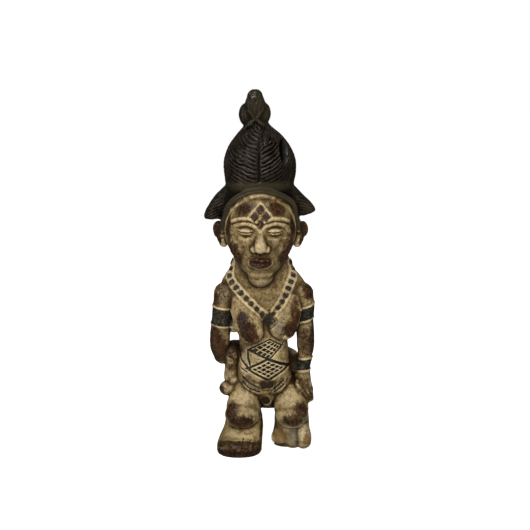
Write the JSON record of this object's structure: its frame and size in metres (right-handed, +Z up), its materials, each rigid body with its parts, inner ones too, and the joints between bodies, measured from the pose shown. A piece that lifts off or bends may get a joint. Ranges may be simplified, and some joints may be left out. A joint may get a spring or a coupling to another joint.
{
  "type": "carved mother and child figure",
  "caption": "Standing carved wooden mother with a high coiffure, a bead necklace and a child astride her back, cut from one block, standing on its own feet.",
  "frame": {"origin": "centre of the bounding box in plan, at the level of the soles", "axes": "+Z up along the figure's height; the mother faces -Y and the child is on her +Y side; +X is the mother's left"},
  "size_m": [0.1108, 0.1096, 0.36],
  "materials": {
    "carved_wood": "dark wood rubbed with pale clay, blackened hair and bands, worn patches polished"
  },
  "bodies": {
    "root": {"mother_and_child": "carved_wood"}
  },
  "joints": []
}
